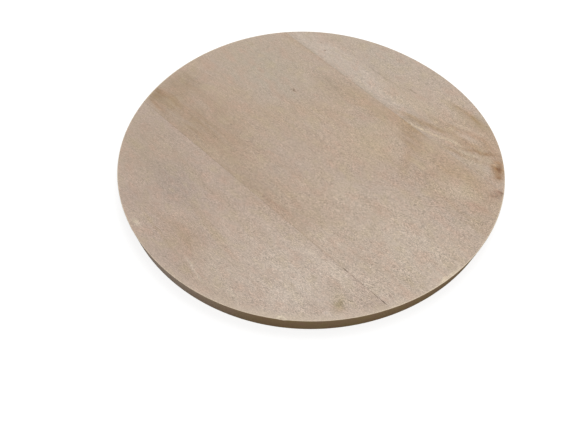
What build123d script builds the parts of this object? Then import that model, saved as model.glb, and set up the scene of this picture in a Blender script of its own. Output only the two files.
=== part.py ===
from build123d import *
import os
from math import cos, radians, sin, sqrt, tan

# A round chopping board, glued up from three planks laid edge to edge and then sawn round by hand.
# Millimetres. The origin is the centre of the underside, +Z points up to the cutting face, +X runs
# along the grain, and +Y runs across the planks, from the front one to the back one.

os.makedirs("parts", exist_ok=True)

# Board
diameter = 350
thickness = 19
top_chamfer = 0.6
underside_chamfer = 0.5

# The saw was tilted by this angle, so the rim is undercut: fingers get under it to lift the board
undercut_angle = 15

# The hand-held saw wandered from the circle. Each share of the wander is how far out the rim lies
# at one of the even steps round the board, anticlockwise from +X.
wander = 2
wander_shares = (-0.68, 0.95, 1.48, 0.00, 0.50, 0.69, -0.67, -0.85, -0.28, 0.00, -0.05, -0.89)

# Planks: the middle one lies off centre, and the other two take what it leaves of the circle
middle_plank_width = 166
middle_plank_offset = 21

# Glue joints: the front one has drawn open towards the rim at its +X end
glue_film = 0.2
opened_length = 58
opened_width_at_rim = 0.7

# The cutter that opens the joint runs this far out past the rim
cut_overrun = 3

radius = diameter / 2
front_joint_y = middle_plank_offset - middle_plank_width / 2
back_joint_y = middle_plank_offset + middle_plank_width / 2
front_joint = Plane(origin=(0, front_joint_y, 0), x_dir=(1, 0, 0), z_dir=(0, 1, 0))
back_joint = Plane(origin=(0, back_joint_y, 0), x_dir=(1, 0, 0), z_dir=(0, 1, 0))
front_joint_rim_x = sqrt(radius**2 - front_joint_y**2)
opened_from_x = front_joint_rim_x - opened_length
undercut = thickness * tan(radians(undercut_angle))


def at(direction, reach):
    """The point that lies so far from the board's centre, with the direction in degrees from +X."""
    return (reach * cos(radians(direction)), reach * sin(radians(direction)))


def sawn_rim(reach):
    """The points that the rim passes at one height, where the circle that it follows has this reach."""
    step = 360 / len(wander_shares)
    return [at(n * step, reach + wander * share) for n, share in enumerate(wander_shares)]


# The glued panel sawn round, with the sharp edge of each face taken off: the planks and the glue
# between them are all slices of it, so the outline and both chamfers run on from piece to piece
with BuildPart() as round_panel:
    for height, reach in ((0, radius - undercut), (thickness, radius)):
        with BuildSketch(Plane.XY.offset(height)):
            with BuildLine():
                Spline(*sawn_rim(reach), periodic=True)
            make_face()
    loft(ruled=True)
    chamfer(round_panel.edges().group_by(Axis.Z)[-1], length=top_chamfer)
    chamfer(round_panel.edges().group_by(Axis.Z)[0], length=underside_chamfer)

# The opened end of the front joint: the ends of planks dry and shrink first, so the two edges part
# from the width of the glue film to their widest at the rim
with BuildPart() as opened_end:
    with BuildSketch(Plane(origin=(opened_from_x, front_joint_y, 0))):
        with BuildLine():
            Polyline(
                (0, -glue_film / 2),
                (opened_length, -opened_width_at_rim / 2),
                (opened_length + cut_overrun, -opened_width_at_rim / 2),
                (opened_length + cut_overrun, opened_width_at_rim / 2),
                (opened_length, opened_width_at_rim / 2),
                (0, glue_film / 2),
                close=True,
            )
        make_face()
    extrude(amount=thickness)

# Front plank, the middling one in width
with BuildPart() as front_plank:
    add(round_panel.part)
    split(bisect_by=front_joint.offset(-glue_film / 2), keep=Keep.BOTTOM)
    add(opened_end.part, mode=Mode.SUBTRACT)
front_plank.part.label = "front_plank"

# Middle plank, the widest
with BuildPart() as middle_plank:
    add(round_panel.part)
    split(bisect_by=front_joint.offset(glue_film / 2), keep=Keep.TOP)
    split(bisect_by=back_joint.offset(-glue_film / 2), keep=Keep.BOTTOM)
    add(opened_end.part, mode=Mode.SUBTRACT)
middle_plank.part.label = "middle_plank"

# Back plank, the narrowest
with BuildPart() as back_plank:
    add(round_panel.part)
    split(bisect_by=back_joint.offset(glue_film / 2), keep=Keep.TOP)
back_plank.part.label = "back_plank"

# Cured glue of the front joint, which ends where the joint has opened
with BuildPart() as front_glue_line:
    add(round_panel.part)
    split(bisect_by=front_joint.offset(-glue_film / 2), keep=Keep.TOP)
    split(bisect_by=front_joint.offset(glue_film / 2), keep=Keep.BOTTOM)
    split(bisect_by=Plane.YZ.offset(opened_from_x), keep=Keep.BOTTOM)
front_glue_line.part.label = "front_glue_line"

# Cured glue of the back joint, whole from rim to rim
with BuildPart() as back_glue_line:
    add(round_panel.part)
    split(bisect_by=back_joint.offset(-glue_film / 2), keep=Keep.TOP)
    split(bisect_by=back_joint.offset(glue_film / 2), keep=Keep.BOTTOM)
back_glue_line.part.label = "back_glue_line"

for piece in (front_plank, middle_plank, back_plank, front_glue_line, back_glue_line):
    export_step(piece.part, f"parts/{piece.part.label}.step")
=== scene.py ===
"""The looks of a round chopping board, glued up from three planks of pale hardwood."""

import math

import bpy
import numpy as np
from mathutils import Matrix, Vector


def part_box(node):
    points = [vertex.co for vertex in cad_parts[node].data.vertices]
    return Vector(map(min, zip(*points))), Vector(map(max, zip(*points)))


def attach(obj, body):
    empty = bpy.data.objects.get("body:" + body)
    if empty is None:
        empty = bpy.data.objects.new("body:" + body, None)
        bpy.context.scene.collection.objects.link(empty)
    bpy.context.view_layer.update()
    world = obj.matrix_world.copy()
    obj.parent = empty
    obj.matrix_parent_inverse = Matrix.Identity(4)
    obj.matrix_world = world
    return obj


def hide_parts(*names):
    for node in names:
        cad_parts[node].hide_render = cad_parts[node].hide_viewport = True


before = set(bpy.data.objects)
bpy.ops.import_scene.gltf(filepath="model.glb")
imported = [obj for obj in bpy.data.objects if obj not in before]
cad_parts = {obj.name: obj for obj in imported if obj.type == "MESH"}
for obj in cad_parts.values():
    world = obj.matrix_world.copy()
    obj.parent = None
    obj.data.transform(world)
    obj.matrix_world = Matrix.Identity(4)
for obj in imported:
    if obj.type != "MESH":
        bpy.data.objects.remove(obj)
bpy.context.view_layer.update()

MM = 0.001
PICTURE_WIDTH = 577

# Sizes taken from the frame, all in metres
FRONT_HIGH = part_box("front_plank")[1]
MIDDLE_LOW, MIDDLE_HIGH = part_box("middle_plank")
BACK_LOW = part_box("back_plank")[0]
THICKNESS = MIDDLE_HIGH.z
FRONT_JOINT = (FRONT_HIGH.y + MIDDLE_LOW.y) / 2
BACK_JOINT = (MIDDLE_HIGH.y + BACK_LOW.y) / 2
GLUE_FILM = BACK_LOW.y - MIDDLE_HIGH.y

# The rim as the solids have it: a circle from which the saw wandered, by these shares of its widest
# at even steps round the board, and which was sawn at a slant, so that it is set back at its foot
RADIUS = 175 * MM
WANDER = 2 * MM
WANDER_SHARES = (-0.68, 0.95, 1.48, 0.0, 0.5, 0.69, -0.67, -0.85, -0.28, 0.0, -0.05, -0.89)
UNDERCUT_SLOPE = math.tan(math.radians(15))

# What hand work leaves: sanding took this off the rim, the saw rippled it this deep, and the planed
# faces are hollow by this much
SANDED_OFF = 0.05 * MM
RIM_RIPPLE = 0.06 * MM
FACE_HOLLOW = 0.05 * MM

# A painted highlight: the face is painted paler this far in from the rim, a little all round, and most
# towards the camera, at this direction and over this much of a turn to each side, in radians
RIM_HIGHLIGHT_REACH = 10 * MM
RIM_HIGHLIGHT_ALL_ROUND, RIM_HIGHLIGHT_TOWARDS_CAMERA = 0.12, 0.8
HIGHLIGHT_AT, HIGHLIGHT_SPREAD = -math.pi / 4, 1.1

# Steps round a plank, and the distance from a joint's end over which each of these fades: the rim's
# points being set in along the joint, the joint's points sliding along it, its eased edge narrowing
PERIMETER_STEP = 0.95 * MM
SET_ALONG_REACH = 14 * MM
SLIDE_REACH = 10 * MM
NARROWING_REACH = 12 * MM

# The glue of the front joint ends here, and the planks' edges part beyond it by a hairline that
# widens at the open stretches, given as (middle along the grain, half length, width)
FILM_END = 102.5 * MM
HAIRLINE = 0.04 * MM
OPEN_STRETCHES = (
    (107.8 * MM, 5.2 * MM, 0.70 * MM),
    (117.4 * MM, 5.5 * MM, 0.24 * MM),
    (127.3 * MM, 3.4 * MM, 0.52 * MM),
    (143.2 * MM, 8.5 * MM, 0.40 * MM),
    (152.2 * MM, 5.5 * MM, 0.80 * MM),
)

# Splintered bites out of the top edge, as (place, half length along the rim, depth)
CHIPS = (
    ((109.0 * MM, -136.6 * MM), 5.5 * MM, 0.8 * MM),
    ((-49.7 * MM, -167.1 * MM), 6.5 * MM, 0.6 * MM),
    ((171.2 * MM, 33.0 * MM), 1.8 * MM, 0.6 * MM),
)


def linear(hex_colour):
    """An sRGB hex colour as linear red, green, blue and an alpha of 1."""
    shares = [int(hex_colour[i:i + 2], 16) / 255 for i in (1, 3, 5)]
    return tuple(c / 12.92 if c <= 0.04045 else ((c + 0.055) / 1.055) ** 2.4 for c in shares) + (1.0,)


def add(tree, kind, inputs=(), **settings):
    """Adds one node with its settings, and sets or links its inputs. A node given as an input stands
    for its first output in use."""
    made = tree.nodes.new(kind)
    for name, value in settings.items():
        setattr(made, name, value)
    for key, value in dict(inputs).items():
        if isinstance(value, bpy.types.Node):
            value = next(s for s in value.outputs if s.enabled)
        if isinstance(value, bpy.types.NodeSocket):
            tree.links.new(value, made.inputs[key])
        else:
            made.inputs[key].default_value = value
    return made


def smooth_step(t):
    """3 t squared less 2 t cubed, with t held between 0 and 1."""
    t = np.clip(t, 0, 1)
    return t * t * (3 - 2 * t)


def bell(distance):
    """A smooth bump that is 1 at distance 0 and reaches 0 at distance 1."""
    return 1 - smooth_step(np.abs(distance))


def outline(angle):
    """Radius of the sawn rim at the top: the circle plus its wander, which is a sum of waves with whole
    numbers of turns that passes through the shares, less what the sanding took off."""
    count = len(WANDER_SHARES)
    waves = np.fft.rfft(WANDER_SHARES) / count
    waves[1:] *= 2
    waves[-1] /= 2
    turns = np.arange(len(waves))
    wander = (waves * np.exp(1j * np.multiply.outer(angle, turns))).real.sum(-1)
    return RADIUS + WANDER * wander - SANDED_OFF


def rim_angle(y, side):
    """The angle at which the rim crosses the line at this y, on the right (+1) or the left (-1)."""
    angles = np.linspace(-np.pi / 2, np.pi / 2, 4001)
    if side < 0:
        angles = np.pi - angles
    return float(np.interp(y, outline(angles) * np.sin(angles), angles))


def opening(x):
    """Width of the front joint's gap at x: the glue film, and past its end a hairline with a smooth bump
    at each open stretch."""
    width = np.where(x < FILM_END, GLUE_FILM, HAIRLINE)
    for middle, half_length, widest in OPEN_STRETCHES:
        width = np.maximum(width, widest * bell((x - middle) / half_length))
    return width


def perimeter(low, high):
    """The loop round a plank between two lines across the grain, anticlockwise.

    Gives each point's place, its outward direction (which shortens to nothing towards a joint's ends,
    so that the joint's eased edge does too), the way in which the rim's profile sets it in (a joint's
    points slide along it near its ends), and 1 for a point on the rim or 0 for one on a joint.
    """
    places, normals, insets, rimness = [], [], [], []

    def arc(start, end):
        count = max(8, int(RADIUS * (end - start) / PERIMETER_STEP))
        angle = np.linspace(start, end, count)
        point = outline(angle)[:, None] * np.column_stack([np.cos(angle), np.sin(angle)])
        normal = np.column_stack([np.cos(angle), np.sin(angle)])
        along = np.column_stack([-np.sign(point[:, 0]), 0 * angle])
        near = np.zeros(count)
        for joint in (low, high):
            if joint is not None:
                near = np.maximum(near, bell((point[:, 1] - joint) / SET_ALONG_REACH))
        mix = -normal * (1 - near)[:, None] + along * near[:, None]
        mix /= np.abs((mix * normal).sum(1))[:, None]
        places.append(point)
        normals.append(normal)
        insets.append(mix)
        rimness.append(np.ones(count))

    def joint(y, start, end, outward):
        count = int(abs(end - start) / PERIMETER_STEP)
        x = np.linspace(start, end, count)[1:-1]
        gap = opening(x) if abs(y - FRONT_JOINT) < MM else np.full_like(x, GLUE_FILM)
        from_end = np.minimum(abs(x - start), abs(x - end))
        slide = np.clip(1 - from_end / SLIDE_REACH, 0, 1) * RADIUS / abs(start)
        places.append(np.column_stack([x, y - outward * gap / 2]))
        normals.append(np.column_stack([0 * x, outward * np.clip(from_end / NARROWING_REACH, 0, 1)]))
        insets.append(np.column_stack([-np.sign(x) * slide, 0 * x]))
        rimness.append(0 * x)

    edge_low = None if low is None else low + GLUE_FILM / 2
    edge_high = None if high is None else high - GLUE_FILM / 2
    ends = {}
    for name, y in (("low", edge_low), ("high", edge_high)):
        if y is not None:
            right, left = rim_angle(y, 1), rim_angle(y, -1)
            ends[name] = (right, left, outline(right) * math.cos(right), outline(left) * math.cos(left))
    if low is None:
        right, left, x_right, x_left = ends["high"]
        arc(left, right + 2 * np.pi)
        joint(high, x_right, x_left, 1)
    elif high is None:
        right, left, x_right, x_left = ends["low"]
        arc(right, left)
        joint(low, x_left, x_right, -1)
    else:
        arc(ends["low"][0], ends["high"][0])
        joint(high, ends["high"][2], ends["high"][3], 1)
        arc(ends["high"][1], ends["low"][1])
        joint(low, ends["low"][3], ends["low"][2], -1)
    return tuple(np.concatenate(part) for part in (places, normals, insets, rimness))


# The rim's profile from the top face down to the underside, as (set in from the rim, height from the
# nearer face) in millimetres, and the far smaller one that a plank has along a joint. Then the number
# of rings of points on the wall between them, on the top face and on the underside.
TOP_PROFILE = (
    (0.5, 0.0), (0.38, 0.02), (0.27, 0.07), (0.17, 0.16), (0.08, 0.29), (0.02, 0.44), (0.0, 0.6))
TOP_JOINT_PROFILE = (
    (0.05, 0.0), (0.04, 0.004), (0.03, 0.01), (0.02, 0.02), (0.01, 0.035), (0.0, 0.06), (0.0, 0.6))
UNDER_PROFILE = ((0.0, 0.5), (0.03, 0.32), (0.12, 0.16), (0.26, 0.05), (0.4, 0.0))
UNDER_JOINT_PROFILE = ((0.0, 0.5), (0.0, 0.25), (0.02, 0.1), (0.04, 0.03), (0.07, 0.0))
WALL_ROWS = 7
TOP_RINGS = 34
UNDER_RINGS = 12


def ripple(angle, height):
    """Marks of the saw and the sanding block on the rim: short waves round it that lean with height."""
    lean = height / THICKNESS
    return 0.5 + 0.25 * np.sin(71 * angle + 2.2 * lean) + 0.25 * np.sin(167 * angle - 3.1 * lean + 1.3)


def hollow(x, y):
    """How far the top face lies below its highest level: long waves left along the grain by planing."""
    across = np.sin(y / (8.7 * MM) + 0.6 * np.sin(x / (61 * MM)))
    broad = np.sin(y / (23 * MM) + x / (140 * MM) + 1.1)
    return FACE_HOLLOW * (0.5 + 0.2 * across + 0.3 * broad)


def chip_depth(x, y):
    """Depth of the splintered bites out of the top edge: a bell along the rim, steepest at the rim."""
    depth = np.zeros_like(x)
    for (chip_x, chip_y), half_length, deepest in CHIPS:
        reach = math.hypot(chip_x, chip_y)
        out = np.array([chip_x, chip_y]) / reach
        along = (-out[1] * (x - chip_x) + out[0] * (y - chip_y)) / half_length
        inward = (reach - out[0] * x - out[1] * y) / (0.75 * half_length)
        jagged = 1 + 0.3 * np.sin(9 * along) * np.sin(5 * inward + 1)
        depth += deepest * bell(along) * np.clip(1 - inward, 0, 1) * np.clip(jagged, 0, None)
    return depth


def painted_rim_highlight(flat):
    """Share of painted highlight at a place on a face: a bell that fades inwards from the rim, times
    another that fades to both sides of the direction towards the camera where it is brightest."""
    angle = np.arctan2(flat[:, 1], flat[:, 0])
    from_rim = (outline(angle) - np.hypot(flat[:, 0], flat[:, 1])) / RIM_HIGHLIGHT_REACH
    from_highlight = (angle - HIGHLIGHT_AT + np.pi) % (2 * np.pi) - np.pi
    return bell(np.clip(from_rim, 0, 1)) * (RIM_HIGHLIGHT_ALL_ROUND + RIM_HIGHLIGHT_TOWARDS_CAMERA * bell(from_highlight / HIGHLIGHT_SPREAD))


def plank(name, low, high, hub_y):
    """A plank as rings of one loop: out over the top face from a hub in its middle, down the rim, and
    back in over the underside. A ring's point lies at hub + share * (edge - hub)."""
    place, normal, inset, rimness = perimeter(low, high)
    hub = np.array([0, hub_y])
    angle = np.arctan2(place[:, 1], place[:, 0])
    rows, sawn, arris = [], [], []

    def ring(flat, height, sawn_share, arris_share):
        rows.append(np.column_stack([flat, np.broadcast_to(height, len(flat))]))
        sawn.append(np.broadcast_to(sawn_share, len(flat)))
        arris.append(np.broadcast_to(arris_share, len(flat)))

    def profiled(rim_step, joint_step, from_top):
        """The loop set in by one step of the profile, and the step's depth from its face."""
        rim_in, rim_depth = rim_step
        joint_in, joint_depth = joint_step
        depth = (rimness * rim_depth + (1 - rimness) * joint_depth) * MM
        drop = depth if from_top else THICKNESS - depth
        set_back = normal * ((1 - rimness) * joint_in * MM)[:, None]
        return undercut(place, drop) + inset * rim_in * MM - set_back, depth

    def undercut(flat, drop):
        """The loop set in by the slant of the saw, at this drop below the top face."""
        return flat + inset * np.broadcast_to(drop * UNDERCUT_SLOPE, len(flat))[:, None]

    def top_height(flat):
        return THICKNESS - hollow(flat[:, 0], flat[:, 1]) - chip_depth(flat[:, 0], flat[:, 1])

    edge, _ = profiled(TOP_PROFILE[0], TOP_JOINT_PROFILE[0], True)
    for k in range(TOP_RINGS):
        flat = hub + (edge - hub) * (1 - (1 - (k + 1) / (TOP_RINGS + 1)) ** 1.5)
        ring(flat, top_height(flat), 0.0, 0.0)
    for step, (rim_step, joint_step) in enumerate(zip(TOP_PROFILE, TOP_JOINT_PROFILE)):
        flat, depth = profiled(rim_step, joint_step, True)
        part = step / (len(TOP_PROFILE) - 1)
        sunk = hollow(flat[:, 0], flat[:, 1]) * (1 - part) + chip_depth(flat[:, 0], flat[:, 1])
        flat = flat - normal * (part * rimness * RIM_RIPPLE * ripple(angle, THICKNESS))[:, None]
        sawn_share, arris_share = smooth_step(2.4 * part - 0.7), bell(2.4 * part - 0.5)
        ring(flat, THICKNESS - depth - sunk, rimness * sawn_share, rimness * arris_share)
    top_of_wall = THICKNESS - TOP_PROFILE[-1][1] * MM
    foot_of_wall = UNDER_PROFILE[0][1] * MM
    for k in range(1, WALL_ROWS + 1):
        share = k / (WALL_ROWS + 1)
        height = top_of_wall + (foot_of_wall - top_of_wall) * share
        fade = chip_depth(place[:, 0], place[:, 1]) * (1 - share) ** 2
        rippled = normal * (rimness * RIM_RIPPLE * ripple(angle, height))[:, None]
        ring(undercut(place, THICKNESS - height) - rippled, height - fade, rimness, 0.0)
    for step, (rim_step, joint_step) in enumerate(zip(UNDER_PROFILE, UNDER_JOINT_PROFILE)):
        flat, depth = profiled(rim_step, joint_step, False)
        part = 1 - step / (len(UNDER_PROFILE) - 1)
        ring(flat, depth, rimness * smooth_step(2 * part - 0.4), rimness * bell(2 * part - 0.75))
    edge = flat
    for k in range(UNDER_RINGS):
        ring(hub + (edge - hub) * (1 - (k + 1) / (UNDER_RINGS + 1)), 0.0, 0.0, 0.0)
    count = len(place)
    grid = np.arange(len(rows) * count).reshape(len(rows), count)
    after = np.roll(grid, -1, axis=1)
    quads = np.stack([grid[:-1], grid[1:], after[1:], after[:-1]], -1).reshape(-1, 4)
    verts = np.concatenate(rows)
    hubs = np.array([[*hub, top_height(hub[None])[0]], [*hub, 0]])
    top_fan = np.column_stack([grid[0], after[0], np.full(count, len(verts))])
    under_fan = np.column_stack([after[-1], grid[-1], np.full(count, len(verts) + 1)])
    verts = np.vstack([verts, hubs])
    return solid(name, verts, quads, np.vstack([top_fan, under_fan]), {
        "sawn": np.concatenate(sawn + [[0, 0]]), "arris": np.concatenate(arris + [[0, 0]]), "painted_rim_highlight": painted_rim_highlight(verts)})


def solid(name, verts, quads, triangles, shares):
    """A smooth-shaded mesh object from arrays, with one named value per vertex for each of shares."""
    mesh = bpy.data.meshes.new(name)
    mesh.from_pydata(verts.tolist(), [], quads.tolist() + triangles.tolist())
    mesh.update()
    for title, values in shares.items():
        layer = mesh.attributes.new(title, "FLOAT", "POINT")
        layer.data.foreach_set("value", np.asarray(values, np.float32))
    mesh.polygons.foreach_set("use_smooth", np.ones(len(mesh.polygons), bool))
    made = bpy.data.objects.new(name, mesh)
    bpy.context.scene.collection.objects.link(made)
    return made


GLUE_STATIONS = 260


def glue_line(name, joint, end_x=None):
    """The cured film as a closed strip: four corners carried along the joint, in steps that shorten
    towards its ends as a sine does. Its top follows the planed faces beside it, and its ends the rim's
    eased edges and the slant between them."""
    right, left = rim_angle(joint, 1), rim_angle(joint, -1)
    x_left = outline(left) * math.cos(left) + RIM_RIPPLE
    x_right = outline(right) * math.cos(right) - RIM_RIPPLE
    end = x_right if end_x is None else end_x
    x = (x_left + end) / 2 + (end - x_left) / 2 * np.sin(np.linspace(-np.pi / 2, np.pi / 2, GLUE_STATIONS))
    to_rim = np.minimum((x - x_left) * abs(math.cos(left)), (x_right - x) * math.cos(right))
    under_rim = to_rim - THICKNESS * UNDERCUT_SLOPE
    sunk = np.interp(to_rim / MM, *zip(*TOP_PROFILE[::-1]))
    top = THICKNESS - hollow(x, joint) - (sunk + 0.02) * MM
    eased = np.interp(under_rim / MM, *zip(*UNDER_PROFILE)) * MM
    slant = -under_rim / UNDERCUT_SLOPE
    low = np.minimum(np.where(under_rim > 0, eased, np.maximum(slant, eased)), top - GLUE_FILM / 2)
    front, back = joint - GLUE_FILM / 2, joint + GLUE_FILM / 2
    corners = [np.column_stack([x, np.full_like(x, y), z])
               for y, z in ((front, top), (front, low), (back, low), (back, top))]
    verts = np.stack(corners, 1).reshape(-1, 3)
    grid = np.arange(len(verts)).reshape(-1, 4)
    after = np.roll(grid, -1, axis=1)
    quads = np.stack([grid[:-1], after[:-1], after[1:], grid[1:]], -1).reshape(-1, 4)
    caps = np.array([grid[0][::-1], grid[-1]])
    return solid(name, verts, np.vstack([quads, caps]), np.zeros((0, 3), int), {})


# Marks of the figure, as (x, y, half length, half width, turn in degrees, bow, soft share, colour,
# strength), with places and sizes in millimetres. Bow is how far both ends bend to the left of the
# way along. They are listed from the broad tones to the small marks.
MIDDLE_MARKS = (
    (-119, 55, 100, 62, 0, 0, 1.0, "#b2a594", 0.75),
    (138, -10, 120, 84, 0, 0, 1.0, "#c3b3a3", 0.85),
    (148, -62, 90, 30, 0, 0, 1.0, "#c6b6a7", 0.7),
    (-100, -44, 96, 62, -6, 0, 1.0, "#a48c73", 0.7),
    (-61, 4, 70, 26, 16, 0, 1.0, "#b29b82", 0.4),
    (-20, -60, 118, 44, -2, 0, 1.0, "#aa937b", 0.48),
    (1, -62, 78, 14, 0, 0, 1.0, "#9e866e", 0.12),
    (13, -57, 30, 3, 4, 0, 1.0, "#a47c68", 0.35),
    (20, 62, 40, 36, -40, 0, 1.0, "#bba78b", 0.6),
    (106, 85, 84, 40, -5, 0, 1.0, "#b0977b", 0.7),
    (-51, 44, 70, 20, 46, -10, 1.0, "#b59d83", 0.35),
    (-18, 93, 56, 17, 2, 0, 1.0, "#af9676", 0.5),
    (24, 105, 48, 17, -2, 0, 1.0, "#a38662", 0.42),
    (40, 93, 32, 16, -28, 0, 1.0, "#9b7e5e", 0.48),
    (58, 68, 42, 9, -58, 4, 1.0, "#ab9175", 0.4),
    (82, 66, 40, 12, 20, 0, 1.0, "#ae957e", 0.3),
    (-67.4, 88.4, 24, 10, 4, 0, 1.0, "#a29381", 0.45),
    (-50, 86, 36, 24, 0, 0, 1.0, "#a08e78", 0.35),
    (-156, -18, 34, 30, 0, 0, 1.0, "#9a846a", 0.45),
    (114, 76, 34, 18, 0, 0, 1.0, "#c9b9a8", 0.45),
    (76, -50, 34, 18, 0, 0, 1.0, "#cbbbaa", 0.5),
    (48, 0, 34, 22, 0, 0, 1.0, "#c6b5a2", 0.4),
    (-145.4, -42.2, 24, 22, 0, 0, 1.0, "#a48a6b", 0.5),
    (-159.2, -47.2, 13, 11, 6, 0, 0.9, "#84663f", 0.8),
    (-149.2, -56.2, 18, 3, -6, 0, 0.9, "#8f7352", 0.5),
    (140.3, 98.8, 8, 11, -30, 0, 0.9, "#8d6c55", 0.6),
    (139.8, 95, 8.5, 2.4, 67, 0, 0.9, "#846650", 0.6),
    (141, 102.4, 4.6, 2.6, 20, 0, 0.9, "#6b4a3c", 0.85),
    (-65, -56, 44, 12, 0, 0, 1.0, "#c0ad98", 0.25),
    (-152, -50, 26, 18, 0, 0, 1.0, "#98805f", 0.3),
    (10, 97, 66, 28, 0, 0, 1.0, "#b39a7c", 0.25),
    (171.5, -4, 32, 2.4, 90, 2.9, 0.9, "#e0d0b6", 0.75),
    (133.5, 72.6, 26, 5, 22, 0, 1.0, "#ab8c7a", 0.35),
    (116, 60, 34, 5, 12, 0, 1.0, "#b59a86", 0.35),
    (-76.8, 54.6, 4.0, 1.5, -24, 0.9, 0.8, "#786756", 0.9),
    (-79.6, 53.6, 2.0, 0.9, 30, 0, 0.8, "#8c7c6b", 0.6),
)
BACK_MARKS = (
    (-62, 151, 100, 26, 0, 0, 1.0, "#b6a899", 0.6),
    (83, 133, 84, 36, 12, 0, 1.0, "#ae947b", 0.9),
    (-74, 111, 112, 26, 2, 2, 0.6, "#bfb0a2", 0.85),
    (18, 129, 62, 11, 21, 2, 1.0, "#bfae9a", 0.65),
    (62, 138, 44, 5, 17, -2, 1.0, "#c2b09c", 0.6),
    (61, 154, 42, 8, 2, -3, 1.0, "#a18763", 0.75),
    (28, 113, 40, 5, 14, 2, 1.0, "#a88c6c", 0.6),
    (42, 115.5, 32, 4.5, 22, 0, 1.0, "#9f866a", 0.65),
    (98, 126.5, 27, 3.4, 30, 1, 1.0, "#98795b", 0.8),
    (87, 111, 40, 4.5, 16, 2, 1.0, "#a28569", 0.55),
    (43.7, 109.1, 24, 1.9, 16, -0.4, 0.9, "#cdbaa0", 0.8),
    (68.5, 117.2, 17, 2.9, 15, 0, 0.9, "#cbb9a0", 0.8),
    (92, 116.2, 18, 2.3, 24, 0, 0.9, "#c9b7a0", 0.75),
    (77, 131.5, 21, 6, 12, 0, 1.0, "#c3b1a0", 0.75),
    (-45, 104, 165, 6, 0, 0, 1.0, "#a99a88", 0.5),
    (31, 108.5, 24, 5, 8, 0, 1.0, "#a58f77", 0.4),
    (108, 106.5, 28, 6, 4, 0, 1.0, "#a58f77", 0.45),
    (57, 149, 20, 6, 0, 0, 1.0, "#ad9680", 0.4),
    (-32, 132, 46, 1.5, 4, 2.4, 1.0, "#97897a", 0.55),
    (-2.2, 137.9, 7, 1.5, 14, 0, 0.8, "#857565", 0.6),
    (122.5, 121.5, 18, 10.5, -48, 0, 0.9, "#9c754f", 0.9),
    (121, 123.5, 8, 3.6, -50, 0, 0.9, "#6f482d", 0.7),
    (128.2, 115.5, 5.5, 2.6, 10, 0, 0.9, "#8a6644", 0.7),
    (0, 127, 56, 18, 0, 0, 1.0, "#bda68a", 0.3),
    (34, 106.3, 15, 1.7, 10, 0, 0.9, "#cfbda3", 0.65),
    (54, 111.8, 16, 2.1, 20, 0, 0.9, "#cdbaa0", 0.7),
    (-96.5, 114.8, 1.5, 1.0, 30, 0, 0.8, "#8d6a58", 0.75),
    (-108.9, 120.4, 1.4, 0.9, 0, 0, 0.8, "#857565", 0.6),
)
FRONT_MARKS = (
    (83, -104, 112, 72, 0, 0, 1.0, "#c4b4a5", 0.9),
    (95, -112.1, 22, 44, -12, 0, 1.0, "#cdbeb0", 0.5),
    (-111, -98, 74, 50, 0, 0, 1.0, "#ae9c89", 0.75),
    (-64, -108, 54, 26, -6, 0, 1.0, "#a6968a", 0.6),
    (-10, -140, 42, 24, -6, 0, 1.0, "#ae957d", 0.6),
    (-3, -66, 90, 14, 0, 0, 1.0, "#b5a08a", 0.4),
    (4, -118, 64, 6, -10, 3, 1.0, "#b39b83", 0.35),
    (-30, -152, 60, 2.4, -8, 0, 1.0, "#b09a80", 0.4),
    (120.5, -84, 26, 12, -45, 0, 1.0, "#b3a28d", 0.5),
    (129.5, -93, 13, 8.0, -44, 0, 1.0, "#a49475", 0.65),
    (126.5, -89, 4.5, 3.5, -44, 0, 1.0, "#91805d", 0.5),
    (40, -146, 46, 22, -16, 0, 1.0, "#c3b3a2", 0.6),
    (100, -71, 50, 12, 0, 0, 1.0, "#d3c4b4", 0.6),
    (114, -99.6, 5.5, 4.5, 40, 0, 1.0, "#cab8ae", 0.5),
    (128.8, -105, 7, 4, 41, 0, 1.0, "#d0c0b5", 0.5),
    (20, -156, 30, 1.8, -12, 0, 1.0, "#cfc0ae", 0.6),
    (64, -150, 30, 1.5, -18, 1, 1.0, "#cfc0ae", 0.4),
    (-51.2, -160.1, 9, 4, -6, 0, 1.0, "#c9bba8", 0.6),
    (109, -136, 7, 3.5, 39, 0, 0.8, "#cdbfa6", 0.5),
    (107, -136.2, 4.6, 1.5, -85, 0, 0.7, "#e6d9bf", 0.9),
    (110.6, -133.8, 3.6, 1.4, -13, 0, 0.7, "#e6d9bf", 0.9),
    (109.2, -136.6, 1.8, 0.9, -14, 0, 0.7, "#84704f", 0.8),
)


def mixed(tree, share, colour, other_hex):
    """A colour turned by this share towards another one, given in hex."""
    return add(tree, "ShaderNodeMix", {0: share, 6: colour, 7: linear(other_hex)}, data_type="RGBA")


def bare_tree(owner):
    """The node tree of a material or a world, switched on and emptied."""
    owner.use_nodes = True
    owner.node_tree.nodes.clear()
    return owner.node_tree


def in_millimetres(tree):
    """The place on the piece in its own frame, in millimetres."""
    local = add(tree, "ShaderNodeTexCoord")
    return add(tree, "ShaderNodeVectorMath", {0: local.outputs["Object"], "Scale": 1 / MM}, operation="SCALE")


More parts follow.
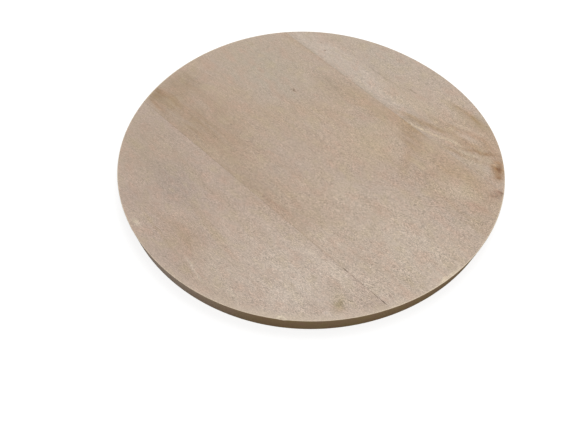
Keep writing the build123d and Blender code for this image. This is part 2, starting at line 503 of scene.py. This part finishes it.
def marked(tree, colour, place, streaks, marks):
    """Lays the marks over a colour: each is a soft ellipse, turned and bowed, streaked by the grain."""
    for x, y, half_length, half_width, turn, bow, soft, hex_colour, strength in marks:
        spot = add(tree, "ShaderNodeMapping", {
            "Vector": place, "Location": (x, y, 0), "Rotation": (0, 0, math.radians(turn)),
            "Scale": (half_length, half_width, 1e6)}, vector_type="TEXTURE")
        if bow:
            parts = add(tree, "ShaderNodeSeparateXYZ", {0: spot})
            square = add(tree, "ShaderNodeMath", {
                0: parts.outputs[0], 1: parts.outputs[0]}, operation="MULTIPLY")
            bent = add(tree, "ShaderNodeMath", {
                0: square, 1: -bow / half_width, 2: parts.outputs[1]}, operation="MULTIPLY_ADD")
            spot = add(tree, "ShaderNodeCombineXYZ", {0: parts.outputs[0], 1: bent})
        away = add(tree, "ShaderNodeVectorMath", {0: spot}, operation="LENGTH")
        mask = add(tree, "ShaderNodeMapRange", {
            0: away.outputs["Value"], 1: 1 - soft, 2: 1.0, 3: strength, 4: 0.0},
            interpolation_type="SMOOTHSTEP")
        streaked = add(tree, "ShaderNodeMath", {0: mask, 1: streaks}, operation="MULTIPLY", use_clamp=True)
        colour = mixed(tree, streaked, colour, hex_colour)
    return colour


def grain_noise(tree, place, along_mm, across_mm, detail=2.0, roughness=0.5):
    """Noise drawn out along the grain: one cell is along_mm long and across_mm wide."""
    stretched = add(tree, "ShaderNodeVectorMath", {
        0: place, 1: (1 / along_mm, 1 / across_mm, 1 / across_mm)}, operation="MULTIPLY")
    return add(tree, "ShaderNodeTexNoise", {
        "Vector": stretched, "Scale": 1.0, "Detail": detail, "Roughness": roughness})


def toned(tree, colour, pattern, darkest, lightest):
    """Multiplies a colour by a pattern of 0.25 to 0.75 spread between two brightness shares."""
    share = add(tree, "ShaderNodeMapRange", {0: pattern, 1: 0.25, 2: 0.75, 3: darkest, 4: lightest})
    return add(tree, "ShaderNodeVectorMath", {0: colour, "Scale": share}, operation="SCALE")


def sanded_hardwood(name, face, cool, warm, seed, slope, marks):
    """Pale hardwood, planed, belt-sanded and wiped once with oil. Seed and slope give each plank its
    own piece of the tree: where the pattern is taken from, and how its grain is turned, in degrees.

    The eye gets a dry matt face with hardly any sheen, faint growth bands, short fibres that stand a
    little raised, small dark pores along the grain, and a browner, duller rim where the cut ends of
    the fibres drank the oil and hands have darkened it, with painted shade darkening it towards its foot.
    """
    material = bpy.data.materials.new(name)
    tree = bare_tree(material)
    plain = in_millimetres(tree)

    # The grain climbs a little across the plank and wavers, so the planks' figures differ
    laid = add(tree, "ShaderNodeMapping", {
        "Vector": plain, "Location": (seed * 311.0, seed * 173.0, seed * 97.0),
        "Rotation": (0, math.radians(2.5), math.radians(slope))})
    slow = add(tree, "ShaderNodeTexNoise", {"Vector": laid, "Scale": 1 / 55, "Detail": 1.0})
    pull = add(tree, "ShaderNodeVectorMath", {
        0: slow.outputs["Color"], 1: (0.5, 0.5, 0.5)}, operation="SUBTRACT")
    swing = add(tree, "ShaderNodeVectorMath", {0: pull, 1: (0.0, 22.0, 14.0)}, operation="MULTIPLY")
    place = add(tree, "ShaderNodeVectorMath", {0: laid, 1: swing}, operation="ADD")

    # Edges of the marks fray along the fibres
    fray = add(tree, "ShaderNodeTexNoise", {"Vector": plain, "Scale": 1 / 14, "Detail": 4.0, "Roughness": 0.62})
    fray_pull = add(tree, "ShaderNodeVectorMath", {
        0: fray.outputs["Color"], 1: (0.5, 0.5, 0.5)}, operation="SUBTRACT")
    fray_swing = add(tree, "ShaderNodeVectorMath", {0: fray_pull, 1: (15.0, 5.5, 0.0)}, operation="MULTIPLY")
    frayed = add(tree, "ShaderNodeVectorMath", {0: plain, 1: fray_swing}, operation="ADD")

    bands = grain_noise(tree, place, 210, 11, detail=3.0)
    fibres = grain_noise(tree, place, 9, 0.9, detail=2.0, roughness=0.6)
    sanded = add(tree, "ShaderNodeMapping", {"Vector": frayed, "Rotation": (0, 0, math.radians(-24))})
    fuzz = grain_noise(tree, sanded, 1.1, 0.4, detail=1.0, roughness=0.5)
    where = add(tree, "ShaderNodeSeparateXYZ", {0: plain})
    coarser = add(tree, "ShaderNodeMapRange", {0: where.outputs["X"], 1: -150.0, 2: 150.0, 3: 0.85, 4: 1.8})
    rough_share = add(tree, "ShaderNodeMapRange", {
        0: grain_noise(tree, plain, 30, 18, detail=2.0), 1: 0.3, 2: 0.7, 3: 0.18, 4: 0.34})
    rough_share = add(tree, "ShaderNodeMath", {0: rough_share, 1: coarser}, operation="MULTIPLY")
    mottle = grain_noise(tree, plain, 46, 30, detail=2.0)
    blush = grain_noise(tree, plain, 17, 11, detail=2.0, roughness=0.6)
    streaks = add(tree, "ShaderNodeMapRange", {
        0: grain_noise(tree, place, 34, 4.5, detail=4.0, roughness=0.6), 1: 0.3, 2: 0.7, 3: 0.55, 4: 1.35})

    hue = add(tree, "ShaderNodeMapRange", {0: mottle, 1: 0.32, 2: 0.68})
    base = mixed(tree, hue, linear(cool), face)
    ring = add(tree, "ShaderNodeMapRange", {0: bands, 1: 0.52, 2: 0.72, 3: 0.0, 4: 0.45})
    base = mixed(tree, ring, base, warm)
    colour = marked(tree, base, frayed, streaks, marks)

    # Sap and heart colour mixed unevenly: faint pink and straw patches
    pink = add(tree, "ShaderNodeMapRange", {0: blush, 1: 0.52, 2: 0.72, 3: 0.0, 4: 0.35})
    straw = add(tree, "ShaderNodeMapRange", {0: blush, 1: 0.48, 2: 0.28, 3: 0.0, 4: 0.35})
    colour = mixed(tree, pink, colour, "#bf9f8b")
    colour = mixed(tree, straw, colour, "#b9a88a")
    colour = toned(tree, colour, fibres, 0.92, 1.08)
    nap = add(tree, "ShaderNodeMapRange", {0: fuzz, 1: 0.25, 2: 0.75, 3: -1.0, 4: 1.0})
    nap_tone = add(tree, "ShaderNodeMath", {0: nap, 1: rough_share, 2: 1.0}, operation="MULTIPLY_ADD")
    colour = add(tree, "ShaderNodeVectorMath", {0: colour, "Scale": nap_tone}, operation="SCALE")

    # Pores: dashes about 4 mm long and 0.4 mm wide, only where the noise peaks
    pore_noise = grain_noise(tree, place, 4.5, 0.45, detail=1.0)
    pores = add(tree, "ShaderNodeMapRange", {0: pore_noise, 1: 0.66, 2: 0.76, 3: 0.0, 4: 0.28})
    colour = mixed(tree, pores, colour, "#7c6753")

    # The rim: browner where the saw cut the fibres, greyer towards the left, lighter at its top and darker at its
    # foot, partly grime and partly painted shade, and palest along the sanded arris, partly its own wood and partly
    # a painted highlight
    sawn = add(tree, "ShaderNodeAttribute", attribute_name="sawn")
    arris = add(tree, "ShaderNodeAttribute", attribute_name="arris")
    rim_highlight = add(tree, "ShaderNodeAttribute", attribute_name="painted_rim_highlight")
    rim_noise = add(tree, "ShaderNodeTexNoise", {"Vector": plain, "Scale": 1 / 9, "Detail": 4.0, "Roughness": 0.65})
    rim_share = add(tree, "ShaderNodeMapRange", {0: rim_noise, 1: 0.3, 2: 0.7})
    rim = mixed(tree, rim_share, linear("#957e55"), "#94755b")
    grey_share = add(tree, "ShaderNodeMapRange", {0: where.outputs["X"], 1: 95.0, 2: -5.0, 3: 0.0, 4: 1.0})
    rim = mixed(tree, grey_share, rim, "#bda997")
    ragged = add(tree, "ShaderNodeMath", {
        0: rim_noise, 1: 5.0, 2: where.outputs["Z"]}, operation="MULTIPLY_ADD")
    # Painted shade, with some grime: the rim lighter towards its top and darker at its foot by the floor
    foot_grime_and_shade = add(tree, "ShaderNodeMapRange", {0: ragged, 1: 2.5, 2: 20.0, 3: 1.02, 4: 1.14})
    rim = add(tree, "ShaderNodeVectorMath", {0: rim, "Scale": foot_grime_and_shade}, operation="SCALE")
    rim = toned(tree, rim, fibres, 0.86, 1.14)
    # Painted highlight: the face painted paler near the rim, most on the side towards the camera
    painted_highlight_share = add(tree, "ShaderNodeMath", {0: rim_highlight.outputs["Fac"], 1: 0.6}, operation="MULTIPLY")
    colour = mixed(tree, painted_highlight_share, colour, "#d2c1ae")
    colour = add(tree, "ShaderNodeMix", {0: sawn.outputs["Fac"], 6: colour, 7: rim}, data_type="RGBA")
    # Partly the fresh-sanded arris's own paler wood and partly a painted highlight along the edge
    arris_pale_and_highlight = add(tree, "ShaderNodeMath", {0: arris.outputs["Fac"], 1: 0.85}, operation="MULTIPLY")
    colour = mixed(tree, arris_pale_and_highlight, colour, "#ecdcc2")

    # Raised fibres and sunk pores, a few hundredths of a millimetre
    lift = add(tree, "ShaderNodeMath", {0: fibres, 1: fuzz}, operation="ADD")
    relief = add(tree, "ShaderNodeMath", {0: pores, 1: -1.6, 2: lift}, operation="MULTIPLY_ADD")
    bump = add(tree, "ShaderNodeBump", {"Strength": 0.55, "Distance": 0.09 * MM, "Height": relief})
    roughness = add(tree, "ShaderNodeMapRange", {0: fuzz, 1: 0.3, 2: 0.7, 3: 0.62, 4: 0.76})
    shader = add(tree, "ShaderNodeBsdfPrincipled", {
        "Base Color": colour, "Roughness": roughness, "Normal": bump, "IOR": 1.5, "Specular IOR Level": 0.28})
    add(tree, "ShaderNodeOutputMaterial", {"Surface": shader})
    return material


def cured_glue(name):
    """White wood glue, pressed out thin and cured: a hard, slightly glossy, amber-brown line."""
    material = bpy.data.materials.new(name)
    tree = bare_tree(material)
    plain = in_millimetres(tree)
    dirt = grain_noise(tree, plain, 9, 1.0, detail=3.0)
    share = add(tree, "ShaderNodeMapRange", {0: dirt, 1: 0.35, 2: 0.65})
    colour = mixed(tree, share, linear("#b09b84"), "#9c866e")
    bump = add(tree, "ShaderNodeBump", {"Strength": 0.4, "Distance": 0.05 * MM, "Height": dirt})
    shader = add(tree, "ShaderNodeBsdfPrincipled", {
        "Base Color": colour, "Roughness": 0.45, "IOR": 1.47, "Normal": bump})
    add(tree, "ShaderNodeOutputMaterial", {"Surface": shader})
    return material


def make_board():
    """The three planks and the two glue lines, each riding on the board's one body."""
    glue = cured_glue("cured wood glue, sanded flush")
    pieces = (
        (plank("front_plank_wood", None, FRONT_JOINT, -108 * MM), "front_plank", "front_plank_wood",
         sanded_hardwood("front plank, sanded pale hardwood",
                         "#baa696", "#b4a193", "#af9a85", 1, 2.0, FRONT_MARKS)),
        (plank("middle_plank_wood", FRONT_JOINT, BACK_JOINT, 21 * MM), "middle_plank", "middle_plank_wood",
         sanded_hardwood("middle plank, sanded pale hardwood",
                         "#b9a491", "#b5a394", "#b19983", 2, -3.0, MIDDLE_MARKS)),
        (plank("back_plank_wood", BACK_JOINT, None, 132 * MM), "back_plank", "back_plank_wood",
         sanded_hardwood("back plank, sanded pale hardwood",
                         "#baa796", "#b7a798", "#b29c86", 3, 4.0, BACK_MARKS)),
        (glue_line("front_glue_film", FRONT_JOINT, FILM_END), "front_glue_line", "glue", glue),
        (glue_line("back_glue_film", BACK_JOINT), "back_glue_line", "glue", glue),
    )
    for piece, node, slot, material in pieces:
        piece.data.materials.append(material)
        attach(piece, "root")
        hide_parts(node)


def make_floor():
    """A plain floor that the camera sees as white, with a faint shadow. From below it is clear, so the
    underside can be looked at, and light from below reaches the board through the gap under it."""
    half = 4.0
    below = -0.2 * MM
    gap_reach = 1.5 * MM
    corners = [(-half, -half, below), (half, -half, below), (half, half, below), (-half, half, below)]
    mesh = bpy.data.meshes.new("floor")
    mesh.from_pydata(corners, [], [(0, 1, 2, 3)])
    floor = bpy.data.objects.new("floor", mesh)
    bpy.context.scene.collection.objects.link(floor)
    material = bpy.data.materials.new("plain pale floor")
    tree = bare_tree(material)
    rays = add(tree, "ShaderNodeLightPath")
    paint = add(tree, "ShaderNodeBsdfDiffuse", {"Color": (0.34, 0.34, 0.34, 1)})
    glow_share = add(tree, "ShaderNodeMath", {
        0: rays.outputs["Is Camera Ray"], 1: 0.8}, operation="MULTIPLY")
    glow = add(tree, "ShaderNodeEmission", {"Color": (1, 1, 1, 1), "Strength": glow_share})
    seen = add(tree, "ShaderNodeAddShader", {0: paint, 1: glow})
    clear = add(tree, "ShaderNodeBsdfTransparent")
    side = add(tree, "ShaderNodeNewGeometry")
    close = add(tree, "ShaderNodeMath", {
        0: rays.outputs["Ray Length"], 1: gap_reach}, operation="LESS_THAN")
    open_share = add(tree, "ShaderNodeMath", {
        0: side.outputs["Backfacing"], 1: close}, operation="MAXIMUM")
    surface = add(tree, "ShaderNodeMixShader", {0: open_share, 1: seen, 2: clear})
    add(tree, "ShaderNodeOutputMaterial", {"Surface": surface})
    mesh.materials.append(material)


def make_light():
    """Soft studio light: a big lamp overhead and a little behind, a weaker one from the front right,
    and an even surround. Together a face turned up renders about as its colour is written."""
    lamps = (
        ("overhead_softbox", (-0.25, 0.55, 1.5), 1.5, 15.5),
        ("front_softbox", (1.5, -0.5, 1.1), 1.2, 4.6),
    )
    for name, place, size, power in lamps:
        lamp = bpy.data.lights.new(name, "AREA")
        lamp.shape = "SQUARE"
        lamp.size = size
        lamp.energy = power
        made = bpy.data.objects.new(name, lamp)
        made.location = place
        made.rotation_mode = "QUATERNION"
        made.rotation_quaternion = (-Vector(place)).to_track_quat("-Z", "Y")
        bpy.context.scene.collection.objects.link(made)
    world = bpy.data.worlds.new("even surround")
    tree = bare_tree(world)
    rays = add(tree, "ShaderNodeLightPath")
    strength = add(tree, "ShaderNodeMapRange", {0: rays.outputs["Is Camera Ray"], 3: 0.5, 4: 1.0})
    surround = add(tree, "ShaderNodeBackground", {"Color": (1, 1, 1, 1), "Strength": strength})
    add(tree, "ShaderNodeOutputWorld", {"Surface": surround})
    bpy.context.scene.world = world


def make_camera():
    """A camera at the photograph's angle: turned to the board's corner, tilted down, and rolled a
    little, at a place measured in board radii from the middle of the top face."""
    turn, tilt_down, roll = math.radians(44.407), math.radians(50.803), math.radians(2.67)
    focal_px = 1205.3
    place = Vector((-0.0963, -4.1838, 4.6818)) * RADIUS
    camera = bpy.data.objects.new("camera", bpy.data.cameras.new("camera"))
    camera.data.sensor_width = 36
    camera.data.lens = 36 * focal_px / PICTURE_WIDTH
    camera.data.clip_start, camera.data.clip_end = 0.01, 50
    spin = Matrix.Rotation(turn, 4, "Z")
    aim = spin @ Matrix.Rotation(math.pi / 2 - tilt_down, 4, "X") @ Matrix.Rotation(roll, 4, "Z")
    camera.matrix_world = Matrix.Translation(spin @ place + Vector((0, 0, THICKNESS))) @ aim
    bpy.context.scene.collection.objects.link(camera)
    bpy.context.scene.camera = camera


make_camera()
make_board()
make_floor()
make_light()
bpy.context.scene.view_settings.view_transform = "Standard"
